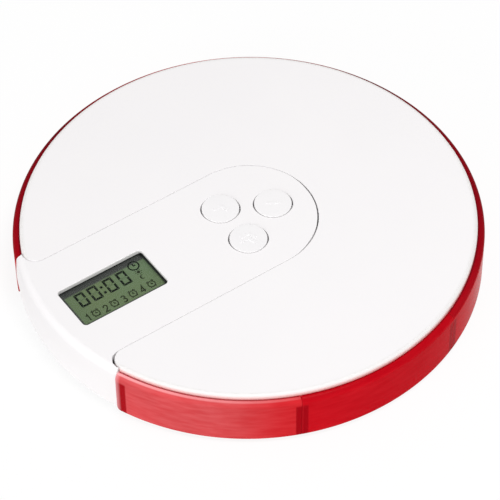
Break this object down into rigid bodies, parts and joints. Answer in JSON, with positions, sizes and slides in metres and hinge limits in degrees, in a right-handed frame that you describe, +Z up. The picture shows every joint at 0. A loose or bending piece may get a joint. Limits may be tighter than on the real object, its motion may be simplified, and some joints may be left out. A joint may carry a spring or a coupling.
{
  "type": "travel pill box",
  "caption": "Flat round pill box with pull-out wedge drawers round the rim, and a control tongue with a display window and push buttons.",
  "frame": {"origin": "on the disc's axis, at the level of the table that the feet stand on", "axes": "+Z up through the covers, -X towards the control tongue, +X away from it, so the display's text runs along +X"},
  "size_m": [0.12, 0.12, 0.0162],
  "materials": {
    "white_plastic": "satin white moulded plastic",
    "button_plastic": "satin white moulded plastic",
    "red_plastic": "translucent red, smooth",
    "clear_lens": "clear",
    "display_glass": "grey-green display",
    "black_plastic": "matt",
    "elastomer": "matt",
    "foot_rubber": "matt",
    "board_laminate": "satin",
    "steel": "bright"
  },
  "bodies": {
    "case": {"base_shell": "white_plastic", "top_cover": "white_plastic", "control_cover": "white_plastic", "lcd_window": "clear_lens", "lcd_glass": "display_glass", "lcd_holder": "black_plastic", "lcd_connector_1": "elastomer", "lcd_connector_2": "elastomer", "circuit_board": "board_laminate", "driver_chip": "black_plastic", "timing_crystal": "steel", "switch_hour": "black_plastic", "switch_minute": "black_plastic", "switch_set": "black_plastic", "buzzer": "black_plastic", "coin_cell": "steel", "cell_spring": "steel", "cell_clip": "steel", "foot_1": "foot_rubber", "foot_2": "foot_rubber", "foot_3": "foot_rubber", "foot_4": "foot_rubber", "lid_screw_1": "steel", "lid_screw_2": "steel", "lid_screw_3": "steel", "lid_screw_4": "steel", "control_screw_1": "steel", "control_screw_2": "steel", "control_screw_3": "steel", "board_screw_1": "steel", "board_screw_2": "steel"},
    "drawer_1": {"pill_drawer_1": "red_plastic"},
    "drawer_2": {"pill_drawer_2": "red_plastic"},
    "drawer_3": {"pill_drawer_3": "red_plastic"},
    "drawer_4": {"pill_drawer_4": "red_plastic"},
    "drawer_5": {"pill_drawer_5": "red_plastic"},
    "drawer_6": {"pill_drawer_6": "red_plastic"},
    "drawer_7": {"pill_drawer_7": "red_plastic"},
    "hour_button": {"button_hour": "button_plastic", "plunger_hour": "black_plastic"},
    "minute_button": {"button_minute": "button_plastic", "plunger_minute": "black_plastic"},
    "set_button": {"button_set": "button_plastic", "plunger_set": "black_plastic"},
    "door": {"battery_door": "white_plastic"}
  },
  "joints": [
    {"name": "drawer_1_slide", "type": "slide", "parent": "case", "child": "drawer_1", "axis": [-0.7071, -0.7071, 0], "range_m": [0, 0.026]},
    {"name": "drawer_2_slide", "type": "slide", "parent": "case", "child": "drawer_2", "axis": [0, -1, 0], "range_m": [0, 0.026]},
    {"name": "drawer_3_slide", "type": "slide", "parent": "case", "child": "drawer_3", "axis": [0.7071, -0.7071, 0], "range_m": [0, 0.026]},
    {"name": "drawer_4_slide", "type": "slide", "parent": "case", "child": "drawer_4", "axis": [1, 0, 0], "range_m": [0, 0.026]},
    {"name": "drawer_5_slide", "type": "slide", "parent": "case", "child": "drawer_5", "axis": [0.7071, 0.7071, 0], "range_m": [0, 0.026]},
    {"name": "drawer_6_slide", "type": "slide", "parent": "case", "child": "drawer_6", "axis": [0, 1, 0], "range_m": [0, 0.026]},
    {"name": "drawer_7_slide", "type": "slide", "parent": "case", "child": "drawer_7", "axis": [-0.7071, 0.7071, 0], "range_m": [0, 0.026]},
    {"name": "hour_press", "type": "slide", "parent": "case", "child": "hour_button", "axis": [0, 0, -1], "range_m": [0, 0.0006], "stiffness_N_per_m": 1500},
    {"name": "minute_press", "type": "slide", "parent": "case", "child": "minute_button", "axis": [0, 0, -1], "range_m": [0, 0.0006], "stiffness_N_per_m": 1500},
    {"name": "set_press", "type": "slide", "parent": "case", "child": "set_button", "axis": [0, 0, -1], "range_m": [0, 0.0006], "stiffness_N_per_m": 1500},
    {"name": "door_turn", "type": "hinge", "parent": "case", "child": "door", "pos_m": [0, 0, 0.0015], "axis": [0, 0, -1], "range_deg": [0, 40]}
  ]
}
